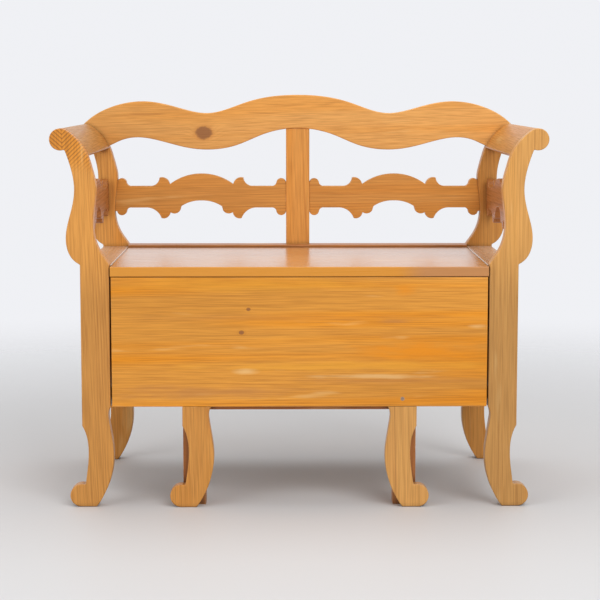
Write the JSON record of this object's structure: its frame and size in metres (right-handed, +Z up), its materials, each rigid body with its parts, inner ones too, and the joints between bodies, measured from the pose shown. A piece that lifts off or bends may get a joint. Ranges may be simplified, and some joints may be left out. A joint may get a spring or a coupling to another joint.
{
  "type": "storage settle",
  "caption": "Scrolled pine settle with a lift-up seat lid over a storage box, carved back and arm rails, a wavy crest and a front that pulls out on its own legs.",
  "frame": {"origin": "on the floor under the middle of the settle's box", "axes": "+X to the right seen from the front, +Y to the back, +Z up"},
  "size_m": [1, 0.506, 0.835],
  "materials": {
    "frame_pine": "satin varnish, honey coloured",
    "panel_pine": "satin varnish, golden",
    "seat_pine": "polished by use, glossy",
    "inside_pine": "bare aged pine",
    "pivot_iron": "dull forged iron",
    "screw_steel": "darkened steel"
  },
  "bodies": {
    "frame": {"arm_left": "frame_pine", "arm_rail_left": "frame_pine", "arm_rail_right": "frame_pine", "arm_right": "frame_pine", "back_panel": "inside_pine", "back_rail_left": "frame_pine", "back_rail_right": "frame_pine", "back_stile": "frame_pine", "crest_rail": "frame_pine", "end_panel_left": "frame_pine", "end_panel_right": "frame_pine", "fixed_slat_1": "inside_pine", "fixed_slat_2": "inside_pine", "fixed_slat_3": "inside_pine", "fixed_slat_4": "inside_pine", "fixed_slat_5": "inside_pine", "front_bearer": "inside_pine", "front_post_left": "frame_pine", "front_post_right": "frame_pine", "lid_pivot_left": "pivot_iron", "lid_pivot_right": "pivot_iron", "lid_rest_left": "inside_pine", "lid_rest_right": "inside_pine", "rear_ledger": "inside_pine", "rear_post_left": "frame_pine", "rear_post_right": "frame_pine", "rear_strip": "seat_pine", "seat_end_left": "seat_pine", "seat_end_right": "seat_pine"},
    "lid": {"lid_board": "seat_pine", "lid_batten_left": "inside_pine", "lid_batten_right": "inside_pine", "lid_screws": "screw_steel"},
    "front": {"front_panel": "panel_pine", "panel_screw": "screw_steel", "front_leg_left": "frame_pine", "front_leg_right": "frame_pine", "leg_post_left": "inside_pine", "leg_post_right": "inside_pine", "middle_ledger": "inside_pine", "side_ledger_left": "inside_pine", "side_ledger_right": "inside_pine", "pull_bearer": "inside_pine", "pull_slat_1": "inside_pine", "pull_slat_2": "inside_pine", "pull_slat_3": "inside_pine", "pull_slat_4": "inside_pine"}
  },
  "joints": [
    {"name": "lid_hinge", "type": "hinge", "parent": "frame", "child": "lid", "pos_m": [0, 0.186, 0.483], "axis": [-1, 0, 0], "range_deg": [0, 94]},
    {"name": "front_pull", "type": "slide", "parent": "frame", "child": "front", "axis": [0, -1, 0], "range_m": [0, 0.295]}
  ]
}
